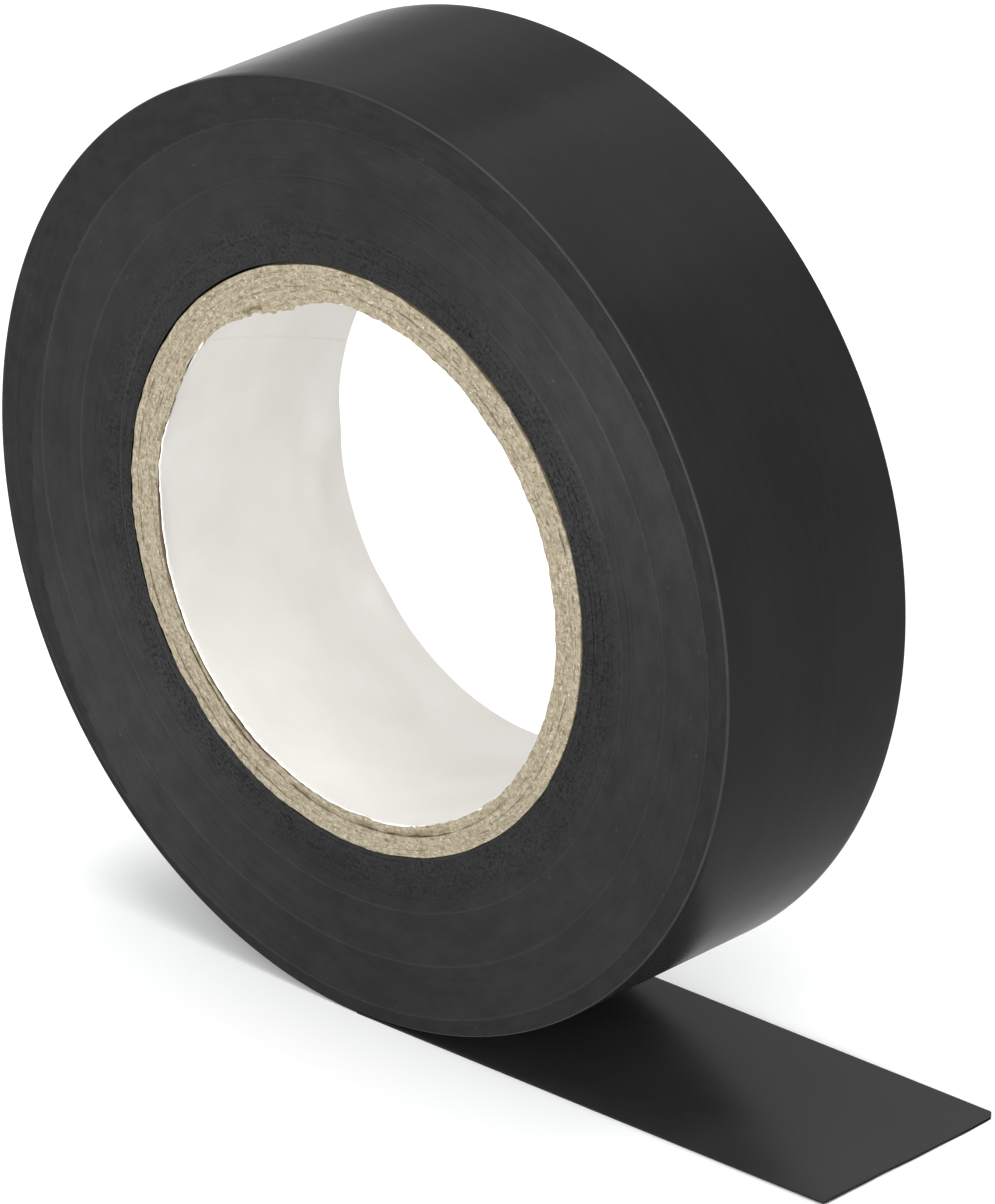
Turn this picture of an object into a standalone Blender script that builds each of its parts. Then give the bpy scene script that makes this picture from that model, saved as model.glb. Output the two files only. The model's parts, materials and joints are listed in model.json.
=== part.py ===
"""A roll of PVC electrical tape on its paper core, standing on its rim with the free end laid flat.

Metres, +Z up. The origin is where the roll touches the surface it stands on. The roll's axis
runs along Y through (0, 0, ROLL_RADIUS), and the free end of the tape lies along +X.
"""

from math import cos, pi, radians, sin

import bpy
from mathutils import Matrix

# The tape
TAPE_WIDTH = 0.015
TAPE_THICKNESS = 0.00015
ROLL_RADIUS = 0.029
TAIL_LENGTH = 0.0358
TAIL_LINKS = 8
LINK_GAP = 0.0001

# The paper core, from its bore outwards
BORE_RADIUS = 0.015875
CORE_RADIUS = 0.0179
LINER_THICKNESS = 0.0002
BOARD_PLIES = 4

# The wound tape, as groups of turns inside the last turn
TURN_GROUPS = 4

# Clear space between two layers that lie on each other
PLY_GAP = 0.00002
TURN_GAP = 0.00005

# Flats round the roll, with one of them at the very bottom
FLATS = 72
FLAT_ANGLE = 2 * pi / FLATS
CORNER = 1 / cos(FLAT_ANGLE / 2)

LINK_LENGTH = TAIL_LENGTH / (TAIL_LINKS + 0.5)


def clear_scene():
    for old in list(bpy.data.objects):
        bpy.data.objects.remove(old, do_unlink=True)


def plastic_or_paper(name, colour, roughness):
    material = bpy.data.materials.new(name)
    material.use_nodes = True
    shader = material.node_tree.nodes["Principled BSDF"]
    shader.inputs["Base Color"].default_value = (*colour, 1.0)
    shader.inputs["Roughness"].default_value = roughness
    shader.inputs["Metallic"].default_value = 0.0
    return material


def make_ring(name, inner, outer, colour, roughness):
    """A ring the width of the tape, with its flats at the radii inner and outer."""
    half = TAPE_WIDTH / 2
    profile = [
        (outer * CORNER, 0, half),
        (outer * CORNER, 0, -half),
        (inner * CORNER, 0, -half),
        (inner * CORNER, 0, half),
    ]
    mesh = bpy.data.meshes.new(name)
    mesh.from_pydata(profile, [(0, 1), (1, 2), (2, 3), (3, 0)], [])
    mesh.materials.append(plastic_or_paper(name, colour, roughness))
    ring = bpy.data.objects.new(name, mesh)
    parts.objects.link(ring)
    turn = ring.modifiers.new("turn", "SCREW")
    turn.axis = "Z"
    turn.angle = 2 * pi
    turn.steps = FLATS
    turn.render_steps = FLATS
    turn.use_merge_vertices = True
    turn.merge_threshold = 0.000001
    turn.use_smooth_shade = False
    ring.parent = roll_axis
    ring.rotation_euler = (pi / 2, FLAT_ANGLE / 2, 0)
    return ring


def make_core():
    """The white liner and the greyboard plies that are glued round it."""
    board_inner = BORE_RADIUS + LINER_THICKNESS + PLY_GAP
    make_ring("core_liner", BORE_RADIUS, BORE_RADIUS + LINER_THICKNESS, (0.80, 0.78, 0.73), 0.75)
    step = (CORE_RADIUS + PLY_GAP - board_inner) / BOARD_PLIES
    for number in range(1, BOARD_PLIES + 1):
        inner = board_inner + (number - 1) * step
        outer = inner + step - PLY_GAP
        make_ring(f"core_board_ply_{number}", inner, outer, (0.38, 0.34, 0.25), 0.9)


def make_turn_groups():
    """The wound tape from the core out to the last turn."""
    first = CORE_RADIUS + PLY_GAP
    last = ROLL_RADIUS - 2 * TAPE_THICKNESS - 2 * TURN_GAP
    step = (last + PLY_GAP - first) / TURN_GROUPS
    for number in range(1, TURN_GROUPS + 1):
        inner = first + (number - 1) * step
        outer = inner + step - PLY_GAP
        make_ring(f"tape_turns_{number}", inner, outer, (0.035, 0.035, 0.036), 0.55)


def turn_radius(flats_passed):
    """The outside of the last turn, which winds inwards by one layer in a full turn."""
    return ROLL_RADIUS - (TAPE_THICKNESS + TURN_GAP) * flats_passed / FLATS


def turn_edge(depth):
    """The corners of the last turn at a depth in the tape, from the bottom flat round to it again."""
    corners = []
    for number in range(FLATS):
        angle = -pi / 2 - FLAT_ANGLE * (number + 0.5)
        radius = (turn_radius(number) - depth) * CORNER
        corners.append((radius * cos(angle), ROLL_RADIUS + radius * sin(angle)))
    return corners


def make_outer_turn():
    """The last turn of tape, which leaves the roll at the bottom in a short straight lead."""
    lead = LINK_LENGTH / 2 - LINK_GAP / 2
    outside = [(lead, 0.0)] + turn_edge(0.0)
    inside = turn_edge(TAPE_THICKNESS)[::-1] + [(lead, TAPE_THICKNESS)]
    outline = outside + inside
    curve = bpy.data.curves.new("tape_outer_turn", "CURVE")
    curve.dimensions = "2D"
    curve.fill_mode = "BOTH"
    curve.extrude = TAPE_WIDTH / 2
    spline = curve.splines.new("POLY")
    spline.points.add(len(outline) - 1)
    for point, (x, z) in zip(spline.points, outline):
        point.co = (x, z, 0, 1)
    spline.use_cyclic_u = True
    curve.materials.append(plastic_or_paper("tape_outer_turn", (0.03, 0.03, 0.032), 0.4))
    turn = bpy.data.objects.new("tape_outer_turn", curve)
    parts.objects.link(turn)
    turn.rotation_euler = (radians(90), 0, 0)
    return turn


def make_tail():
    """The free end, as links that hinge along their upper edges, which face the roll."""
    behind = None
    for number in range(1, TAIL_LINKS + 1):
        name = f"tape_tail_{number}"
        bpy.ops.mesh.primitive_cube_add(size=1)
        link = bpy.context.object
        link.name = name
        link.data.name = name
        size = Matrix.Diagonal((LINK_LENGTH - LINK_GAP, TAPE_WIDTH, TAPE_THICKNESS, 1))
        place = Matrix.Translation((LINK_LENGTH / 2, 0, -TAPE_THICKNESS / 2))
        link.data.transform(place @ size)
        link.data.materials.append(plastic_or_paper(name, (0.04, 0.04, 0.042), 0.25))
        for collection in list(link.users_collection):
            collection.objects.unlink(link)
        parts.objects.link(link)
        if behind is None:
            link.location = (LINK_LENGTH / 2, 0, TAPE_THICKNESS)
        else:
            link.parent = behind
            link.location = (LINK_LENGTH, 0, 0)
        behind = link


clear_scene()
parts = bpy.data.collections.new("electrical_tape_roll")
bpy.context.scene.collection.children.link(parts)
roll_axis = bpy.data.objects.new("roll_axis", None)
roll_axis.location = (0, 0, ROLL_RADIUS)
parts.objects.link(roll_axis)

make_core()
make_turn_groups()
make_outer_turn()
make_tail()
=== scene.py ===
"""The looks of a roll of PVC electrical tape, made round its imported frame.

Metres, +Z up. The roll's axis runs along Y at (0, 0, AXIS), its visible face looks along -Y, and
the free end of the tape lies along +X. Angles round the roll start at +X and grow towards +Z.
"""

import json
from math import cos, pi, radians, sin

import bpy
import numpy as np
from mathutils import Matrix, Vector


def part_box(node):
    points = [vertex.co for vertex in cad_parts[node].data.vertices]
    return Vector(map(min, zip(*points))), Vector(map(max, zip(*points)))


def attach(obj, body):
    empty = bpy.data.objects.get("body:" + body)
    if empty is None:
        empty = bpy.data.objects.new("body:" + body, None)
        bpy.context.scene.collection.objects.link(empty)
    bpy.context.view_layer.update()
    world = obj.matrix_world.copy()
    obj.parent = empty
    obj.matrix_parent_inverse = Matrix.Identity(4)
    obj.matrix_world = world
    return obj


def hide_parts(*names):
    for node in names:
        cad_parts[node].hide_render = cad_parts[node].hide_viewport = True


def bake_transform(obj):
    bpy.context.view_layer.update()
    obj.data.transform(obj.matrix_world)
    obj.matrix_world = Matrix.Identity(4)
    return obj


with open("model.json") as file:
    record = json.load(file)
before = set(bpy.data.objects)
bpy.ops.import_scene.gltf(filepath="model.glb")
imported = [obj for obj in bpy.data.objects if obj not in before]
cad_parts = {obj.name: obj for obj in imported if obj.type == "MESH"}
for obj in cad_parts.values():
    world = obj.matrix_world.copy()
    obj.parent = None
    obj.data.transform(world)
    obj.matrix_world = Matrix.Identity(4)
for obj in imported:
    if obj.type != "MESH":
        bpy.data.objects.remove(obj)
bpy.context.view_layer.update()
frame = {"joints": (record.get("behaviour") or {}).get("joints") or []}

MM = 0.001

# Sizes read from the frame
liner_low, liner_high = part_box("core_liner")
AXIS = (liner_low.z + liner_high.z) / 2
HALF_WIDTH = (liner_high.y - liner_low.y) / 2
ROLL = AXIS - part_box("tape_outer_turn")[0].z
LINER_OUTSIDE = (liner_high.x - liner_low.x) / 2
HINGES = [joint["pos_m"][0] for joint in frame["joints"]]
LINK = HINGES[1] - HINGES[0]
TAIL_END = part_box(f"tape_tail_{len(HINGES)}")[1].x
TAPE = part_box("tape_tail_1")[1].z
PLIES = [f"core_board_ply_{number}" for number in range(1, 5)]
TURN_GROUPS = [f"tape_turns_{number}" for number in range(1, 5)]

# The winding. CORE is the mean radius of the board's outside, under the first layer, and the
# faces are worn as far as WORN_REACH from it.
TURNS = 68.15
STEPS_PER_TURN = 360
LAYER_GAP = 0.0015 * MM
LAYER_CROWN = 0.0012 * MM
CORE = 17.912 * MM
WORN_REACH = 3.2 * MM
TAIL_ANGLE = -pi / 2

# The knife's spiral on the faces, in millimetres: its mean radius at angle 0, and its step per turn
KNIFE_START = 30.53
KNIFE_PITCH = 3.248

# The dull band next to the rim narrows over the taper and runs out at this angle
DULL_END = radians(235)
DULL_TAPER = radians(70)
CHIPS_PER_TURN = 720


def ring_outside(node):
    low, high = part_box(node)
    return (high.x - low.x) / 2


# ---------------------------------------------------------------- shapes


def smooth_noise(shape, spread, seed):
    """Random values of unit spread, smoothed over (rows, columns) cells, that wrap round."""
    noise = np.random.default_rng(seed).standard_normal(shape)
    rows = np.fft.fftfreq(shape[0])[:, None] * spread[0]
    columns = np.fft.rfftfreq(shape[1])[None, :] * spread[1]
    spectrum = np.fft.rfft2(noise) * np.exp(-2 * pi**2 * (rows**2 + columns**2))
    field = np.fft.irfft2(spectrum, shape)
    return field / field.std()


def bump_at(angle, centre, spread):
    """A smooth hill of height 1 round an angle in degrees, with that spread."""
    away = (np.degrees(angle) - centre + 180) % 360 - 180
    return np.exp(-0.5 * (away / spread) ** 2)


def turned(radius, y, angle):
    """Points at a radius and a place along the axis, with their coordinates for the grain."""
    radius, y, angle = np.broadcast_arrays(radius, y, angle)
    points = np.stack([radius * np.cos(angle), y, AXIS + radius * np.sin(angle)], -1)
    middle = (CORE + ROLL) / 2 / MM
    lay = np.stack([middle * np.cos(angle), middle * np.sin(angle), (radius - y) / MM], -1)
    return points, lay


def grid_object(name, points, materials, around, slots=0, sharp=35, **layers):
    """A closed mesh over a grid of points: rows along the sweep, columns round the section.

    slots gives each face its material: one number, one for each column, or one for each face.
    The other layers become attributes on the points.
    """
    rows, width = points.shape[:2]
    index = np.arange(rows * width).reshape(rows, width)
    ahead = np.roll(index, -1, axis=0)
    quads = np.stack([index, ahead, np.roll(ahead, -1, axis=1), np.roll(index, -1, axis=1)], -1)
    if not around:
        quads = quads[:-1]
    flat = points.reshape(-1, 3)
    corners = flat[quads.reshape(-1, 4)] - flat.mean(0)
    first = np.einsum("ij,ij->i", corners[:, 0], np.cross(corners[:, 1], corners[:, 2]))
    second = np.einsum("ij,ij->i", corners[:, 0], np.cross(corners[:, 2], corners[:, 3]))
    inside_out = first.sum() + second.sum() < 0
    if inside_out:
        quads = quads[..., ::-1]
    faces = quads.reshape(-1, 4).tolist()
    if not around:
        start, end = index[0].tolist(), index[-1].tolist()
        faces += [start, end[::-1]] if inside_out else [start[::-1], end]
    mesh = bpy.data.meshes.new(name)
    mesh.from_pydata(flat.tolist(), [], faces)
    for key, values in layers.items():
        kind = "FLOAT_VECTOR" if values.ndim == 3 else "FLOAT"
        layer = mesh.attributes.new(key, kind, "POINT")
        layer.data.foreach_set("vector" if values.ndim == 3 else "value", values.ravel())
    for material in materials:
        mesh.materials.append(material)
    skins = np.broadcast_to(slots, quads.shape[:2]).astype(int).ravel().tolist()
    caps = [0] * (len(faces) - len(skins))
    mesh.polygons.foreach_set("material_index", skins + caps)
    mesh.shade_smooth()
    mesh.set_sharp_from_angle(angle=radians(sharp))
    piece = bpy.data.objects.new(name, mesh)
    bpy.context.scene.collection.objects.link(piece)
    return piece


# ---------------------------------------------------------------- materials


class Shader:
    """A material with a Principled shader, and short ways to add nodes to it."""

    def __init__(self, name, roughness, **constants):
        self.material = bpy.data.materials.new(name)
        self.material.use_nodes = True
        self.tree = self.material.node_tree
        self.surface = self.tree.nodes["Principled BSDF"]
        self.surface.inputs["Roughness"].default_value = roughness
        for key, value in constants.items():
            self.surface.inputs[key.replace("_", " ")].default_value = value

    def add(self, kind, inputs, **settings):
        item = self.tree.nodes.new(kind)
        for key, value in settings.items():
            setattr(item, key, value)
        for key, value in inputs.items():
            self.plug(value, item.inputs[key])
        return item

    def plug(self, value, socket):
        if isinstance(value, bpy.types.NodeSocket):
            self.tree.links.new(value, socket)
        else:
            socket.default_value = value

    def attribute(self, name, output="Fac"):
        return self.add("ShaderNodeAttribute", {}, attribute_name=name).outputs[output]

    def math(self, operation, first, second=0.0, clamp=False):
        item = self.add("ShaderNodeMath", {0: first, 1: second}, operation=operation)
        item.use_clamp = clamp
        return item.outputs[0]

    def plus(self, first, second, clamp=False):
        return self.math("ADD", first, second, clamp)

    def times(self, first, second, clamp=False):
        return self.math("MULTIPLY", first, second, clamp)

    def stretched(self, scale):
        """The grain coordinates, in millimetres, with their own scale along and across."""
        lay = self.attribute("lay", "Vector")
        item = self.add("ShaderNodeVectorMath", {0: lay, 1: scale}, operation="MULTIPLY")
        return item.outputs[0]

    def noise(self, scale, detail=3.0, roughness=0.5):
        inputs = {"Vector": self.stretched(scale), "Scale": 1.0}
        inputs.update({"Detail": detail, "Roughness": roughness})
        return self.add("ShaderNodeTexNoise", inputs).outputs["Fac"]

    def ramp(self, value, low, high, out_low=0.0, out_high=1.0):
        inputs = {"Value": value, "From Min": low, "From Max": high}
        inputs.update({"To Min": out_low, "To Max": out_high})
        return self.add("ShaderNodeMapRange", inputs, clamp=True).outputs["Result"]

    def blend(self, factor, first, second):
        """A mix of two colours, which the Mix node has at inputs 6 and 7 and at output 2."""
        item = self.add("ShaderNodeMix", {}, data_type="RGBA", blend_type="MIX")
        self.plug(factor, item.inputs["Factor"])
        for socket, value in ((item.inputs[6], first), (item.inputs[7], second)):
            self.plug(value if isinstance(value, bpy.types.NodeSocket) else (*value, 1.0), socket)
        return item.outputs[2]

    def colour(self, socket):
        self.plug(socket, self.surface.inputs["Base Color"])

    def roughen(self, socket):
        self.plug(socket, self.surface.inputs["Roughness"])

    def grooved(self):
        """Stretch the highlights along the roll's radius, as fine turned grooves do."""
        lay = self.add("ShaderNodeSeparateXYZ", {0: self.attribute("lay", "Vector")})
        radial = self.add("ShaderNodeCombineXYZ", {"X": lay.outputs["X"], "Z": lay.outputs["Y"]})
        unit = self.add("ShaderNodeVectorMath", {0: radial.outputs[0]}, operation="NORMALIZE")
        self.plug(unit.outputs[0], self.surface.inputs["Tangent"])

    def bump(self, height, strength, distance):
        inputs = {"Height": height, "Strength": strength, "Distance": distance}
        normal = self.surface.inputs["Normal"]
        if normal.is_linked:
            inputs["Normal"] = normal.links[0].from_socket
        self.plug(self.add("ShaderNodeBump", inputs).outputs["Normal"], normal)


def wound_edge_material(name, burnished):
    """The cut edges of the tape, side by side on the roll's faces.

    The knife burnished most of them, which gives fine turned grooves, and left the others dull.
    """
    if burnished:
        shader = Shader(name, 0.55, Specular_IOR_Level=0.27, Anisotropic=0.66)
        shader.grooved()
        dark, light = (0.0015, 0.0015, 0.0016), (0.007, 0.007, 0.0072)
    else:
        shader = Shader(name, 0.6, Specular_IOR_Level=0.162)
        dark, light = (0.0065, 0.0065, 0.0066), (0.0125, 0.0125, 0.0127)
    patches = shader.noise((0.45, 0.45, 0.7), detail=7.0, roughness=0.62)
    streaks = shader.noise((1.2, 1.2, 0.35), detail=5.0, roughness=0.6)
    grit = shader.noise((4.2, 4.2, 5.5), detail=4.0, roughness=0.7)
    smudge = shader.noise((0.9, 0.9, 1.6), detail=5.0, roughness=0.6)
    lines = shader.noise((0.15, 0.15, 4.0), detail=3.0, roughness=0.6)
    specks = shader.noise((2.6, 2.6, 3.4), detail=2.0)
    worn = shader.attribute("worn")
    band = shader.math("FRACT", shader.attribute("knife"))

    # The tone: cloudy, lined near the core, and darker across each band of the knife's spiral, which
    # is painted shade for the sheen that fades across each band
    value = shader.plus(shader.times(patches, 0.9), shader.times(band, -0.3))
    value = shader.plus(value, shader.times(streaks, 0.25))
    value = shader.plus(value, shader.times(lines, shader.ramp(worn, 0.0, 0.5, 0.02, 0.16)))
    base = shader.blend(shader.ramp(value, 0.1, 0.75), dark, light)

    # Pits, most of them near the core, where the face is worn; their shade is painted in, near black
    # in the base colour and dark in the specular tint
    pits_painted_shade = shader.times(shader.ramp(grit, 0.46, 0.6), shader.ramp(smudge, 0.35, 0.6, 0.4, 1.0))
    pits_painted_shade = shader.times(pits_painted_shade, shader.ramp(worn, 0.0, 0.45, 0.14, 1.0))
    base = shader.blend(pits_painted_shade, base, (0.001, 0.001, 0.001))
    # Painted shade in the specular tint: dark in the pits, and a little darker in some random patches
    shade = shader.plus(shader.times(pits_painted_shade, 0.8), shader.ramp(patches, 0.62, 0.4, 0.0, 0.13))
    shade = shader.plus(shade, shader.ramp(smudge, 0.52, 0.38, 0.0, 0.1), clamp=True)
    tint = shader.blend(shade, (1.0, 1.0, 1.0), (0.0, 0.0, 0.0))
    shader.plug(tint, shader.surface.inputs["Specular Tint"])

    relief = shader.times(worn, 0.6)
    if burnished:
        shine = shader.ramp(band, 0.0, 1.0, 1.0, 0.5)
        shine = shader.times(shine, shader.ramp(streaks, 0.3, 0.7, 0.84, 1.12))
        shine = shader.times(shine, shader.ramp(pits_painted_shade, 0.0, 1.0, 1.0, 0.3))
        shader.roughen(shader.ramp(shine, 0.0, 1.0, 0.36, 0.58))
        # Painted highlight: a thin lighter line in the base colour just inside each knife step,
        # standing in for its lit wall
        painted_step_highlight = shader.ramp(band, 0.045, 0.01, 0.0, 0.14)
        base = shader.blend(painted_step_highlight, base, (0.045, 0.045, 0.045))
    else:
        scuff = shader.ramp(smudge, 0.35, 0.65, 0.2, 0.9)
        base = shader.blend(scuff, base, (0.005, 0.005, 0.0051))
        shader.roughen(shader.ramp(smudge, 0.35, 0.65, 0.55, 0.65))
        relief = shader.plus(relief, shader.times(scuff, 0.35))
    dust = shader.ramp(specks, 0.74, 0.8, 0.0, 0.5)
    shader.colour(shader.blend(dust, base, (0.07, 0.07, 0.07)))
    shader.bump(grit, shader.plus(relief, 0.1), 0.07 * MM)
    return shader.material


def corner_material():
    """The rounded corner between the rim and a face, rubbed smooth."""
    shader = Shader("rim_corner", 0.36, Specular_IOR_Level=0.13)
    rub = shader.noise((0.35, 0.35, 0.9), detail=4.0)
    tone = shader.ramp(rub, 0.3, 0.7)
    shader.colour(shader.blend(tone, (0.019, 0.019, 0.0192), (0.028, 0.028, 0.0282)))
    shader.roughen(shader.ramp(rub, 0.3, 0.7, 0.29, 0.43))
    shader.bump(rub, 0.15, 0.02 * MM)
    return shader.material


def film_material():
    """The outer side of the PVC film: satin, with a faint lengthwise draw and a few marks."""
    shader = Shader("pvc_film", 0.22, Specular_IOR_Level=0.017)
    draw = shader.noise((0.03, 0.03, 3.0), detail=3.0)
    cloud = shader.noise((0.12, 0.12, 0.16), detail=3.0)
    marks = shader.noise((0.9, 0.9, 1.6), detail=6.0, roughness=0.62)
    value = shader.ramp(shader.plus(shader.times(draw, 0.4), shader.times(cloud, 0.6)), 0.35, 0.65)
    base = shader.blend(value, (0.0155, 0.0155, 0.0158), (0.0197, 0.0197, 0.02))
    scuff = shader.ramp(marks, 0.66, 0.78, 0.0, 0.35)
    shader.colour(shader.blend(scuff, base, (0.03, 0.03, 0.031)))
    rough = shader.ramp(cloud, 0.3, 0.7, 0.21, 0.27)
    shader.roughen(shader.plus(rough, shader.times(scuff, 0.4)))
    shader.bump(draw, 0.12, 0.01 * MM)
    shader.bump(shader.noise((3.0, 3.0, 3.4), detail=2.0), 0.06, 0.01 * MM)
    return shader.material


def adhesive_material():
    """The sticky side: smooth and glossier, with a slight ripple from the coating."""
    shader = Shader("pvc_adhesive", 0.3, Specular_IOR_Level=0.055)
    ripple = shader.noise((0.1, 0.1, 0.45), detail=2.0)
    cloud = shader.noise((0.2, 0.2, 0.25), detail=4.0)
    tone = shader.ramp(cloud, 0.3, 0.7)
    shader.colour(shader.blend(tone, (0.021, 0.021, 0.0213), (0.0253, 0.0253, 0.0256)))
    shader.roughen(shader.ramp(cloud, 0.3, 0.7, 0.26, 0.33))
    shader.bump(ripple, 0.12, 0.02 * MM)
    shader.bump(shader.noise((2.2, 2.2, 2.2), detail=2.0), 0.05, 0.01 * MM)
    return shader.material


def board_material():
    """Greyboard: tan and grey fibres and the brown lines of its layers, along the core's turn."""
    shader = Shader("greyboard", 0.92, Specular_IOR_Level=0.15)
    fibres = shader.noise((1.4, 1.4, 7.0), detail=6.0, roughness=0.68)
    mottle = shader.noise((2.4, 2.4, 4.2), detail=6.0, roughness=0.7)
    flecks = shader.noise((4.0, 4.0, 8.0), detail=4.0, roughness=0.65)
    strands = shader.noise((0.35, 0.35, 5.0), detail=5.0, roughness=0.65)
    cloud = shader.noise((0.282, 0.282, 0.564), detail=4.0)
    base = shader.blend(shader.ramp(mottle, 0.34, 0.66), (0.132, 0.108, 0.0658), (0.315, 0.277, 0.207))
    base = shader.blend(shader.ramp(fibres, 0.5, 0.66, 0.0, 0.7), base, (0.329, 0.291, 0.221))
    base = shader.blend(shader.ramp(cloud, 0.3, 0.7, 0.0, 0.3), base, (0.221, 0.188, 0.132))
    base = shader.blend(shader.ramp(fibres, 0.44, 0.34, 0.0, 0.7), base, (0.0846, 0.063, 0.0338))
    base = shader.blend(shader.ramp(strands, 0.4, 0.33, 0.0, 0.6), base, (0.0705, 0.0517, 0.0273))
    base = shader.blend(shader.ramp(flecks, 0.6, 0.68, 0.0, 0.85), base, (0.489, 0.446, 0.362))
    base = shader.blend(shader.ramp(flecks, 0.4, 0.33, 0.0, 0.8), base, (0.0517, 0.0376, 0.0197))
    # Torn paper and painted shade, both dark brown: the crack between the first two plies, the torn
    # pits and the board's outer edge are darkened as their shade
    torn = shader.times(shader.attribute("torn"), 0.8, clamp=True)
    shader.colour(shader.blend(torn, base, (0.1, 0.073, 0.038)))
    shader.bump(fibres, 0.5, 0.07 * MM)
    shader.bump(mottle, 0.7, 0.08 * MM)
    return shader.material


def liner_material():
    """The white paper of the bore, with its spiral seam and a few soft creases."""
    shader = Shader("liner_paper", 0.8, Specular_IOR_Level=0.25)
    fibres = shader.noise((2.4, 2.4, 3.0), detail=5.0, roughness=0.6)
    cloud = shader.noise((0.16, 0.16, 0.3), detail=3.0)
    base = shader.blend(shader.ramp(cloud, 0.3, 0.7), (0.582, 0.562, 0.527), (0.615, 0.6, 0.57))
    base = shader.blend(shader.ramp(fibres, 0.62, 0.78, 0.0, 0.15), base, (0.66, 0.61, 0.52))
    drift = shader.times(shader.math("SUBTRACT", shader.noise((0.6, 0.6, 0.9)), 0.5), 0.5)
    seam = shader.math("ABSOLUTE", shader.plus(shader.attribute("seam"), drift))
    line = shader.times(shader.ramp(seam, 0.14, 0.04), shader.ramp(cloud, 0.35, 0.6, 0.4, 1.0))
    base = shader.blend(shader.times(line, 0.18), base, (0.45, 0.4, 0.3))
    frayed = shader.times(shader.attribute("torn"), shader.ramp(fibres, 0.4, 0.6, 0.1, 1.0))
    shader.colour(shader.blend(frayed, base, (0.88, 0.87, 0.85)))
    shader.bump(fibres, 0.12, 0.02 * MM)
    shader.bump(line, 0.3, -0.03 * MM)
    return shader.material


EDGE = wound_edge_material("burnished_edges", True)
DULL_EDGE = wound_edge_material("dull_edges", False)
CORNER = corner_material()
FILM = film_material()
ADHESIVE = adhesive_material()
BOARD = board_material()
LINER = liner_material()


# ---------------------------------------------------------------- the wound tape


def core_edge(angle):
    """How far the core is out of round at an angle, and where its outer ply steps."""
    round_error = 0.146 * np.cos(angle + radians(131.8)) + 0.185 * np.cos(2 * angle - radians(95.7))
    past_step = (np.degrees(angle) - 25) % 360
    return (round_error + 0.09 * np.exp(-past_step / 9)) * MM


def knife_count(radius, angle):
    """How many turns of the knife's spiral lie outside a point on the front face."""
    wobble = 0.1 * np.cos(angle + radians(162)) + 0.124 * np.cos(2 * angle + radians(92))
    return (KNIFE_START - wobble - radius / MM) / KNIFE_PITCH - angle / (2 * pi)


def cut_depth(count):
    """How far the cut face lies behind its mean plane: each band stands proud where it begins."""
    across = count % 1.0
    ease = np.clip(across / 0.06, 0, 1)
    ease = ease * ease * (3 - 2 * ease)
    return (0.022 - 0.045 * ease + 0.045 * across) * MM


def is_dull(radius, angle):
    """Whether a point lies on the rim's side of the knife's first turn, where the face is dull."""
    past = (angle - DULL_END) % (2 * pi)
    taper = np.clip((past - 2 * pi + DULL_TAPER) / DULL_TAPER, 0, 1)
    chips = np.random.default_rng(41).standard_normal(CHIPS_PER_TURN)
    place = angle / (2 * pi) * CHIPS_PER_TURN
    chips = np.interp(place, np.arange(CHIPS_PER_TURN), chips, period=CHIPS_PER_TURN)
    return knife_count(radius, DULL_END + past) + taper + (0.012 + 0.02 * taper) * chips < 0


def layer_wander(turn, seed):
    """How far each layer's edge stands from its neighbours', in metres."""
    count = int(TURNS * STEPS_PER_TURN) + 1
    slow = smooth_noise((count, 1), (38, 0), seed)[:, 0]
    fast = smooth_noise((count, 1), (9, 0), seed + 1)[:, 0]
    where = np.clip(turn / TURNS, 0, 1) * (count - 1)
    near_core = np.exp(-turn / 9)
    amount = 0.0025 + 0.009 * near_core
    return np.interp(where, np.arange(count), 0.8 * slow + 0.35 * fast) * amount * MM


def layer_radius(turn, angle):
    """The inner side of the tape after a number of turns from the core."""
    core = CORE + core_edge(angle) * (1 - turn / TURNS)
    return core + (ROLL - TAPE - core) * turn / TURNS


def winding_angle(turn):
    return TAIL_ANGLE - 2 * pi * (TURNS - turn)


def wound_turns(name, node, first, last):
    """A run of turns as one real ribbon, wound in a spiral with its own layer edges."""
    steps = int(round((last - first) * STEPS_PER_TURN))
    turn = np.linspace(first, last, steps + 1)
    angle = winding_angle(turn)
    inner = layer_radius(turn, angle)
    outer = layer_radius(turn + 1, angle + 2 * pi) - LAYER_GAP
    outer = np.maximum(outer, inner + 0.1 * MM)
    middle = (inner + outer) / 2
    radius = np.stack([inner, middle, outer, outer, middle, inner], 1)
    angle = angle[:, None]
    knife = knife_count(radius, angle)
    knife[:, 3:] = knife_count(radius, pi - angle)[:, 3:]
    depth = cut_depth(knife)
    depth[:, :3] += layer_wander(turn, 11)[:, None]
    depth[:, 3:] += layer_wander(turn, 23)[:, None]
    depth[:, [1, 4]] -= LAYER_CROWN
    side = np.array([-1, -1, -1, 1, 1, 1])
    points, lay = turned(radius, side * (HALF_WIDTH - depth), angle)
    dull = is_dull(radius, angle)
    dull[:, 3:] = is_dull(radius, pi - angle)[:, 3:]
    worn = np.clip(1.15 - (radius - CORE) / WORN_REACH, 0.0, 1.0) ** 1.5
    skins = [EDGE, DULL_EDGE]
    piece = grid_object(name, points, skins, False, dull[:-1], lay=lay, knife=knife, worn=worn)
    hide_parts(node)
    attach(piece, "roll")


def make_wound_turns():
    """All turns but the last, with one piece for each of the frame's groups."""
    bounds = np.linspace(0, TURNS - 1, len(TURN_GROUPS) + 1)
    for number, node in enumerate(TURN_GROUPS):
        wound_turns(f"wound_turns_{number + 1}", node, bounds[number], bounds[number + 1])


# ---------------------------------------------------------------- the last turn and the free end

# How round the tape's outer edges are: rubbed on the roll, fresh on the free end
RIM_COLUMNS = 30
RIM_CORNER = 0.13 * MM
TAIL_CORNER = 0.03 * MM

# The free end: its steps along, how far askew it lies, and the rounding of its far corner
TAIL_STEP = 0.25 * MM
TAIL_SKEW = 0.0243
END_CORNER = 0.75 * MM

# The tape's material slots
OUTSIDE, INSIDE, ROUNDING, CUT = range(4)


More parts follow.
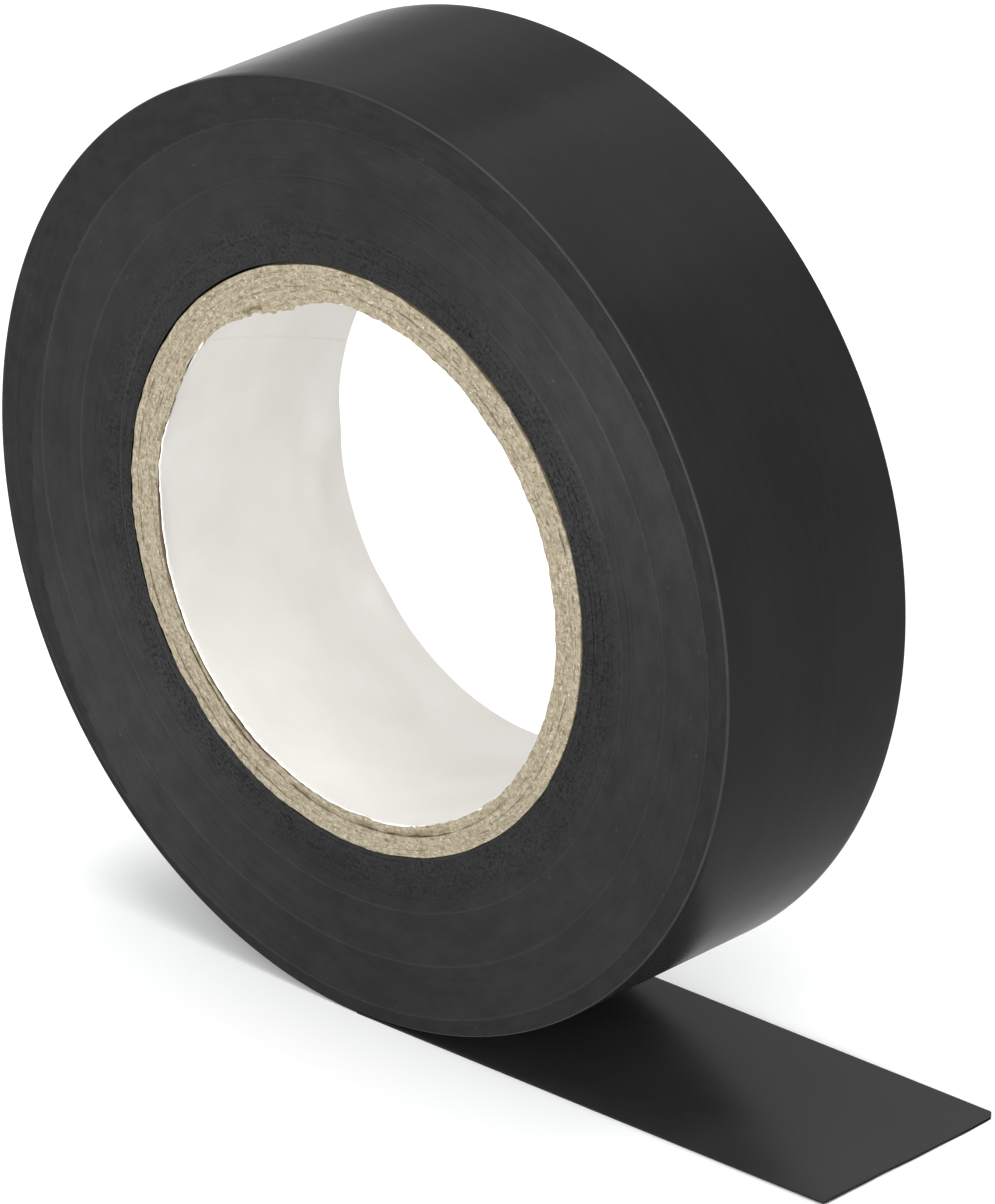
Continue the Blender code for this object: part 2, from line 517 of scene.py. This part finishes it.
def tape_section(corner):
    """The tape's section: places across the width, heights in the thickness, and materials."""
    width = 2 * HALF_WIDTH
    bend = np.linspace(0, pi / 2, 6)[1:]
    across = np.linspace(corner, width - corner, RIM_COLUMNS)
    near = corner * (1 - np.cos(bend[:-1])), TAPE - corner * (1 - np.sin(bend[:-1]))
    far = width - near[0][::-1], near[1][::-1]
    places = np.concatenate([near[0], across, far[0], [width, width], across[::-1], [0, 0]])
    heights = np.concatenate(
        [near[1], 0 * across + TAPE, far[1], [TAPE - corner, 0], 0 * across, [0, TAPE - corner]]
    )
    rounds = len(bend) - 1
    outside = [ROUNDING] * rounds + [OUTSIDE] * (RIM_COLUMNS - 1) + [ROUNDING] * rounds
    slots = outside + [CUT] * 2 + [INSIDE] * (RIM_COLUMNS + 1) + [CUT] * 2
    return places, heights, slots


def make_outer_turn():
    """The last turn, whose film is the rim: slightly wavy, and rubbed round at both corners."""
    across, height, slots = tape_section(RIM_CORNER)
    turn = np.linspace(TURNS - 1, TURNS, STEPS_PER_TURN * 2 + 1)
    angle = winding_angle(turn)
    inner = layer_radius(turn, angle)
    fade = np.sin(np.linspace(0, pi, len(turn))) ** 0.5
    front = cut_depth(knife_count(inner, angle)) * fade
    back = cut_depth(knife_count(inner, pi - angle)) * fade
    cells = (len(turn), len(across))
    waves = 0.009 * smooth_noise(cells, (26, 5), 31) + 0.0018 * smooth_noise(cells, (200, 0.8), 32)
    waves = waves * fade[:, None] * MM * (height[None, :] > 0.1 * TAPE)
    radius = inner[:, None] + height[None, :] + waves
    share = across[None, :] / (2 * HALF_WIDTH)
    y = -HALF_WIDTH + across[None, :] + front[:, None] * (1 - share) - back[:, None] * share
    points, lay = turned(radius, y, angle[:, None])
    flat = np.zeros(radius.shape)
    skins = [FILM, ADHESIVE, CORNER, DULL_EDGE]
    layers = {"lay": lay, "knife": flat + 0.5, "worn": flat}
    piece = grid_object("outer_turn", points, skins, False, slots, **layers)
    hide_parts("tape_outer_turn")
    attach(piece, "roll")


def tail_surface(x, across, height):
    """The free end where it lies: a little askew, with its near corner just lifting."""
    along = x / TAIL_END
    y = across - HALF_WIDTH + TAIL_SKEW * x
    near = 1 - across / (2 * HALF_WIDTH)
    lift = (0.11 * along**2.4 * near + 0.03 * np.sin(pi * along) ** 2 * near * (1 - near) * 4) * MM
    z = TAPE - height + lift
    return y, z


def tail_piece(number, start, end, steps):
    """One stretch of the free end, from the middle of one link to the middle of the next."""
    across, height, slots = tape_section(TAIL_CORNER)
    x = np.linspace(start, end, steps + 1)
    x, across, height = np.broadcast_arrays(x[:, None], across[None, :], height[None, :])
    if number == len(HINGES):
        far = np.clip((across - 2 * HALF_WIDTH + END_CORNER) / END_CORNER, 0, 1)
        cut = END_CORNER * (1 - np.sqrt(1 - far**2)) * 0.8
        ragged = 0.03 * MM * np.sin(across / (2.1 * MM)) + 0.02 * MM * np.sin(across / (0.7 * MM))
        x = start + (x - start) * (1 - (cut + ragged + 0.05 * MM) / (end - start))
    y, z = tail_surface(x, across, height)
    points = np.stack([x, y, z], -1)
    lay = np.stack([x / MM, 0 * x, (across - 2 * HALF_WIDTH) / MM], -1)
    flat = np.zeros(x.shape)
    skins = [FILM, ADHESIVE, FILM, DULL_EDGE]
    layers = {"lay": lay, "knife": flat + 0.5, "worn": flat}
    piece = grid_object(f"tail_{number}", points, skins, False, slots, **layers)
    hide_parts(f"tape_tail_{number}")
    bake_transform(piece)


def make_tail():
    links = len(HINGES)
    for number in range(1, links + 1):
        end = TAIL_END if number == links else number * LINK
        start = (number - 1) * LINK
        tail_piece(number, start, end, int(round((end - start) / TAIL_STEP)))


# ---------------------------------------------------------------- the core

CORE_STEPS = 1080
PLY_GAP = 0.02 * MM
PLY_END_COLUMNS = 10
PLY_END_DEPTH = 0.5 * MM
BOARD_PROUD = 0.03 * MM
LINER_THICKNESS = 0.2 * MM
LINER_STEPS = 900
LINER_COLUMNS = 56


def bore_edge(angle):
    """How far the bore is out of round."""
    return 0.127 * MM * np.cos(angle + radians(78.7)) + 0.08 * MM * np.cos(2 * angle - radians(124))


def burr(angle, fine=1.0):
    """Paper that the core's cutter pushed into the bore at the front end, in metres."""
    cells = (len(angle), 1)
    slow = smooth_noise(cells, (9, 0), 81)[:, 0]
    ragged = smooth_noise(cells, (1.6, 0), 82)[:, 0] + smooth_noise(cells, (5, 0), 83)[:, 0]
    hills = 0.72 * bump_at(angle, 114, 9) + 0.3 * bump_at(angle, 190, 6)
    hills = hills + 0.15 * bump_at(angle, 158, 8)
    return (hills + (0.018 + 0.07 * hills) * ragged * fine + 0.02 * slow + 0.06) * MM


def peeled(angle):
    """1 where the liner has come away from the board at the front end, and 0 elsewhere."""
    return np.clip(1.6 * bump_at(angle, 216, 26), 0, 1)


def fibrous(steps, columns, seed):
    """A torn-paper relief for a ply's end, in metres."""
    broad = smooth_noise((steps, columns), (5, 2.0), seed)
    fine = smooth_noise((steps, columns), (1.5, 0.8), seed + 1)
    return (0.026 * broad + 0.016 * fine) * MM


def ply_radius(radius, angle):
    """A wall of a ply, which follows the bore near it and the core's outside near that."""
    share = (radius - LINER_OUTSIDE) / (CORE - LINER_OUTSIDE)
    return radius + bore_edge(angle) * (1 - share) + core_edge(angle) * share


def parted(angle):
    """Where the first two plies have come apart at the front end, and how far their seam drifts."""
    cells = (CORE_STEPS, 3)
    noise = smooth_noise(cells, (3, 0.3), 71) + smooth_noise(cells, (11, 0.3), 72)
    split = 0.8 * bump_at(angle, 232, 22) + 0.55 * bump_at(angle, 270, 16)
    split = split + 0.3 * bump_at(angle, 300, 14)
    split = np.clip(split * (0.85 + 0.3 * noise[:, 0]), 0, 1)
    drift = -0.24 * bump_at(angle, 205, 20) + 0.012 * noise[:, 1] * np.clip(3 * split, 0, 1)
    return split, drift * MM


def torn_pits(angle):
    """1 where the cutter tore pits in the first ply's front end, and 0 elsewhere."""
    cells = (CORE_STEPS, 1)
    pits_painted_shade = bump_at(angle, 120, 8) * (smooth_noise(cells, (5, 0), 73)[:, 0] > 0.1)
    pits_painted_shade = pits_painted_shade + 0.8 * bump_at(angle, 178, 16) * (smooth_noise(cells, (6, 0), 75)[:, 0] > 0.5)
    return np.clip(pits_painted_shade, 0, 1)


def ply_end(number, side, angle, low, high):
    """One cut end of a ply: its radii, its places along the axis, and how torn it is, with painted
    shade in its crack, its pits and along the board's outer edge.
    """
    seed = number + (100 if side < 0 else 200)
    cells = (CORE_STEPS, 1)
    across = np.linspace(0, 1, PLY_END_COLUMNS)
    relief = fibrous(CORE_STEPS, PLY_END_COLUMNS, seed)
    torn = np.zeros((CORE_STEPS, PLY_END_COLUMNS))
    loose = smooth_noise(cells, (14, 0), seed + 9) + smooth_noise(cells, (3, 0), seed + 11)
    torn[:, -1:] = np.clip(0.4 * loose - 0.1, 0, 0.75)
    slump = np.zeros(CORE_STEPS)
    split, drift = parted(angle)
    if number == 1 and side < 0:
        pits_painted_shade = torn_pits(angle)
        covers = 1 - peeled(angle)
        low = low - (burr(angle) + LINER_THICKNESS) * covers
        slump = burr(angle) * covers * 0.3
        high = high + drift - split * 0.07 * MM
        # Painted shade: the crack where the first two plies part is darkened, and so are the torn pits
        crack = split[:, None] * np.array([0.3, 0.55, 0.75, 0.85, 0.95, 1.0])
        torn[:, -6:] = np.maximum(torn[:, -6:], crack)
        torn[:, 2:4] = pits_painted_shade[:, None]
        torn[:, 0] = peeled(angle) * 0.6
        relief[:, 2:4] += pits_painted_shade[:, None] * -0.06 * MM
        relief[:, -2:] += split[:, None] * np.array([-0.03, -0.07]) * MM
    if number == 2 and side < 0:
        low = low + drift + split * 0.03 * MM
        # Painted shade on the second ply's side of the same crack
        torn[:, :2] = split[:, None] * np.array([0.8, 0.3])
        relief[:, 0] += split * -0.05 * MM
    if number == len(PLIES):
        uneven = smooth_noise(cells, (7, 0), seed + 5)[:, 0]
        high = high + 0.02 * MM * uneven
        # Painted shade: a dark line along the board's outer edge, next to the tape
        torn[:, -1] = np.clip(0.3 - 0.5 * uneven, 0, 0.8)
    radius = low[:, None] + (high - low)[:, None] * across[None, :]
    level = 0.02 * MM * smooth_noise(cells, (60, 0), seed + 7)
    y = side * (HALF_WIDTH + BOARD_PROUD - slump[:, None] * (1 - across[None, :]) + level + relief)
    return radius, y, torn


def board_ply(number, node, inside, outside):
    """One greyboard ply: its two cut ends in fine relief, joined by its walls."""
    angle = np.linspace(0, 2 * pi, CORE_STEPS, endpoint=False)
    inner = ply_radius(inside, angle)
    outer = ply_radius(outside, angle)
    if number == len(PLIES):
        outer = np.minimum(outer, CORE + core_edge(angle) - PLY_GAP)
    front = ply_end(number, -1, angle, inner, outer)
    back = [values[:, ::-1] for values in ply_end(number, 1, angle, inner, outer)]
    wall_y = np.outer(np.ones(CORE_STEPS), [PLY_END_DEPTH - HALF_WIDTH, HALF_WIDTH - PLY_END_DEPTH])
    untorn = np.zeros((CORE_STEPS, 2))
    outer_wall = np.stack([outer, outer], 1), wall_y, untorn
    inner_wall = np.stack([inner, inner], 1), -wall_y, untorn
    stretches = zip(front, outer_wall, back, inner_wall)
    radius, y, torn = (np.concatenate(values, 1) for values in stretches)
    points, lay = turned(radius, y, angle[:, None])
    piece = grid_object(f"board_ply_{number}", points, [BOARD], True, sharp=50, lay=lay, torn=torn)
    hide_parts(node)
    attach(piece, "roll")


def make_board():
    inside = LINER_OUTSIDE + PLY_GAP
    for number, node in enumerate(PLIES, start=1):
        outside = ring_outside(node)
        board_ply(number, node, inside, outside)
        inside = outside


def liner_dents(angle, y):
    """Soft dents in the liner: their angle, place along the axis, spread, width and depth."""
    depth = 0 * y
    for centre, place, spread, width, deep in (
        (184, 6.6, 4.0, 1.1, 0.24),
        (196, 5.0, 5.0, 0.8, 0.15),
        (191, 3.2, 8.0, 0.6, 0.07),
        (222, 7.0, 3.5, 0.7, 0.15),
        (250, -3.0, 14.0, 2.2, 0.05),
    ):
        dent = bump_at(angle, centre, spread) * np.exp(-0.5 * ((y / MM - place) / width) ** 2)
        depth = depth + dent * deep * MM
    return depth


def make_liner():
    """The bore's white paper: wrinkled a little, with its front edge pushed inwards."""
    cells = (LINER_STEPS, LINER_COLUMNS)
    ring = (LINER_STEPS, 1)
    angle = np.linspace(0, 2 * pi, LINER_STEPS, endpoint=False)
    run = np.sin(np.linspace(-pi / 2, pi / 2, LINER_COLUMNS))
    ragged = smooth_noise(ring, (1.5, 0), 62) + smooth_noise(ring, (5, 0), 63)
    away = peeled(angle)
    held_back = (1.15 + 0.15 * ragged) * burr(angle, 0.0)[:, None] * (1 - away[:, None])
    held_back = 0.02 * MM * ragged + held_back
    y = -HALF_WIDTH + held_back + (run[None, :] + 1) / 2 * (2 * HALF_WIDTH - held_back)
    angles = angle[:, None] + 0 * y

    bore = LINER_OUTSIDE - LINER_THICKNESS + bore_edge(angle)
    soft = smooth_noise(cells, (22, 9), 51) * 0.016 * MM
    creases = smooth_noise(cells, (40, 2.2), 53) * 0.004 * MM
    push = burr(angle, 0.0) * (1 - 0.6 * away) + 0.13 * MM * bump_at(angle, 120, 3)
    inner = bore[:, None] - np.abs(soft) + creases - liner_dents(angles, y)
    inner = inner - push[:, None] * np.exp(-(y + HALF_WIDTH) / (0.42 * MM))
    thin = np.clip((HALF_WIDTH - np.abs(y)) / (0.8 * MM), 0.5, 1)
    outer = np.minimum(inner + LINER_THICKNESS * thin, bore[:, None] + LINER_THICKNESS)

    seam_angle = radians(151) + radians(1.57) * y / MM
    seam = ((angles - seam_angle + pi) % (2 * pi) - pi) * LINER_OUTSIDE / MM
    last = LINER_COLUMNS - 1
    kept = [last, last - 2, last - 7, LINER_COLUMNS // 2, 8, 3, 0]
    no_seam = np.full((LINER_STEPS, len(kept)), 9.0)
    radius = np.concatenate([inner, outer[:, kept]], 1)
    seam = np.concatenate([seam, no_seam], 1)
    y = np.concatenate([y, y[:, kept]], 1)
    torn = np.exp(-(y + HALF_WIDTH) / (0.1 * MM)) * np.clip(0.35 + away[:, None], 0, 1)
    points, lay = turned(radius, y, angle[:, None])
    layers = {"lay": lay, "seam": seam, "torn": np.clip(torn, 0, 1)}
    piece = grid_object("liner", points, [LINER], True, sharp=60, **layers)
    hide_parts("core_liner")
    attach(piece, "roll")


# ---------------------------------------------------------------- floor, light and camera


FLOOR_SIZE = 3.0

# The camera, in degrees round the roll, roll radii from the origin and millimetres of lens
CAMERA_AZIMUTH = 43.361
CAMERA_ELEVATION = 24.719
CAMERA_PLACE = (13.113, -13.732, 9.566)
CAMERA_LENS = 313.1
CAMERA_SENSOR = 36


def make_floor():
    shader = Shader("floor", 0.9, Specular_IOR_Level=0.0)
    shader.surface.inputs["Base Color"].default_value = (0.9, 0.9, 0.9, 1)
    bpy.ops.mesh.primitive_plane_add(size=FLOOR_SIZE)
    floor = bpy.context.object
    floor.name = "floor"
    floor.data.materials.append(shader.material)


def make_lights():
    """A white studio: even light all round, and softboxes behind, in front, aside and above."""
    world = bpy.data.worlds.new("studio")
    world.use_nodes = True
    background = world.node_tree.nodes["Background"]
    background.inputs["Color"].default_value = (0.975, 0.988, 1.0, 1)
    background.inputs["Strength"].default_value = 0.7
    bpy.context.scene.world = world
    look_at = Vector((0, 0, AXIS))
    for name, place, width, height, watts in (
        ("back_softbox", (0.0, 0.66, 0.78), 0.75, 0.44, 3.7),
        ("left_back_softbox", (-0.5, 0.66, 0.5), 0.5, 0.45, 0.4),
        ("front_softbox", (0.08, -1.0, 0.2), 0.55, 0.42, 11.0),
        ("key_softbox", (0.31, -0.75, 0.74), 0.28, 0.28, 0.6),
        ("side_softbox", (0.7, -0.38, 0.17), 0.5, 0.34, 1.9),
        ("top_softbox", (-0.1, -0.14, 1.15), 0.7, 0.5, 4.9),
    ):
        light = bpy.data.lights.new(name, "AREA")
        light.shape = "RECTANGLE"
        light.size = width
        light.size_y = height
        light.energy = watts
        lamp = bpy.data.objects.new(name, light)
        lamp.location = place
        lamp.rotation_euler = (look_at - lamp.location).to_track_quat("-Z", "Y").to_euler()
        bpy.context.scene.collection.objects.link(lamp)


def make_camera():
    """A long lens, to the right of the face and above it."""
    azimuth = radians(CAMERA_AZIMUTH)
    elevation = radians(CAMERA_ELEVATION)
    level = Vector((-sin(azimuth), cos(azimuth), 0)) * cos(elevation)
    forward = level - Vector((0, 0, sin(elevation)))
    camera_data = bpy.data.cameras.new("camera")
    camera_data.sensor_width = CAMERA_SENSOR
    camera_data.lens = CAMERA_LENS
    camera = bpy.data.objects.new("camera", camera_data)
    camera.location = Vector(CAMERA_PLACE) * ROLL
    camera.rotation_euler = forward.to_track_quat("-Z", "Y").to_euler()
    bpy.context.scene.collection.objects.link(camera)
    bpy.context.scene.camera = camera


make_wound_turns()
make_outer_turn()
make_tail()
make_board()
make_liner()
make_floor()
make_lights()
make_camera()
bpy.context.scene.view_settings.view_transform = "Standard"
